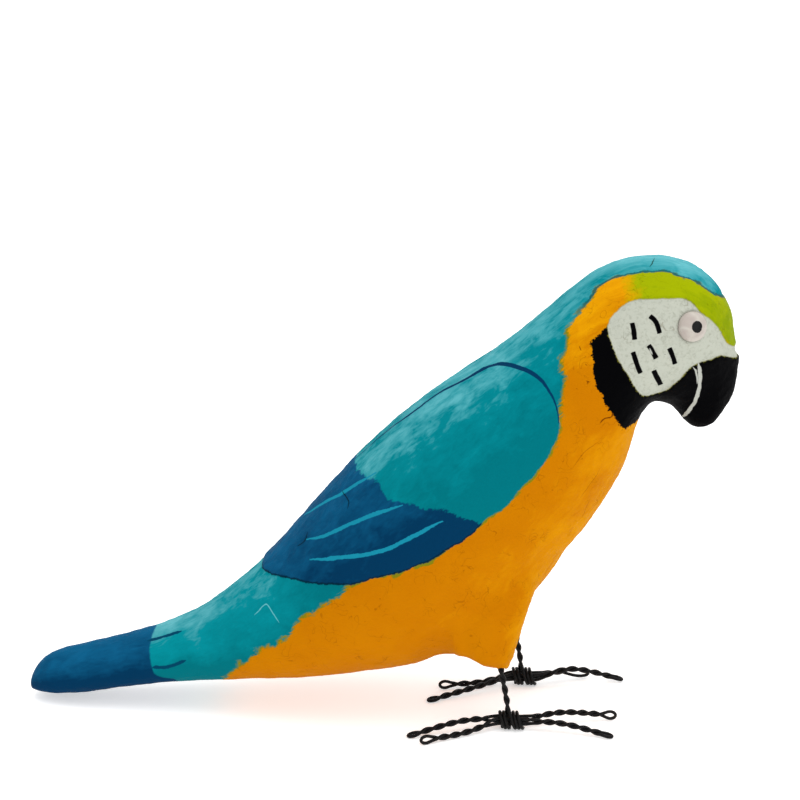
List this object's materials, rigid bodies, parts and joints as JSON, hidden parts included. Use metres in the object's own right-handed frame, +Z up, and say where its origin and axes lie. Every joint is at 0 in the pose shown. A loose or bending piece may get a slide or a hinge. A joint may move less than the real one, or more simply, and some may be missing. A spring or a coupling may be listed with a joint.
{
  "type": "papier-mache bird",
  "caption": "Painted papier-mache macaw with a long tail, hooked beak and bead eyes, standing on legs and toes of twisted black wire",
  "frame": {"origin": "on the ground the bird stands on, in the middle of its length and of its width", "axes": "+X is the way the bird faces, +Y its left side, +Z up"},
  "size_m": [0.2999, 0.08, 0.1994],
  "materials": {
    "painted_paper": "papier-mache under satin paint: teal back and wings, dark blue flight and tail feathers, orange breast, white face, black beak",
    "bead": "pearly gloss with a painted black pupil",
    "wire": "black annealed iron wire, satin"
  },
  "bodies": {
    "root": {"body": "painted_paper", "eye_right": "bead", "eye_left": "bead", "leg_right": "wire", "leg_left": "wire", "toes_right_inner": "wire", "toes_right_outer": "wire", "toes_left_inner": "wire", "toes_left_outer": "wire"}
  },
  "joints": []
}
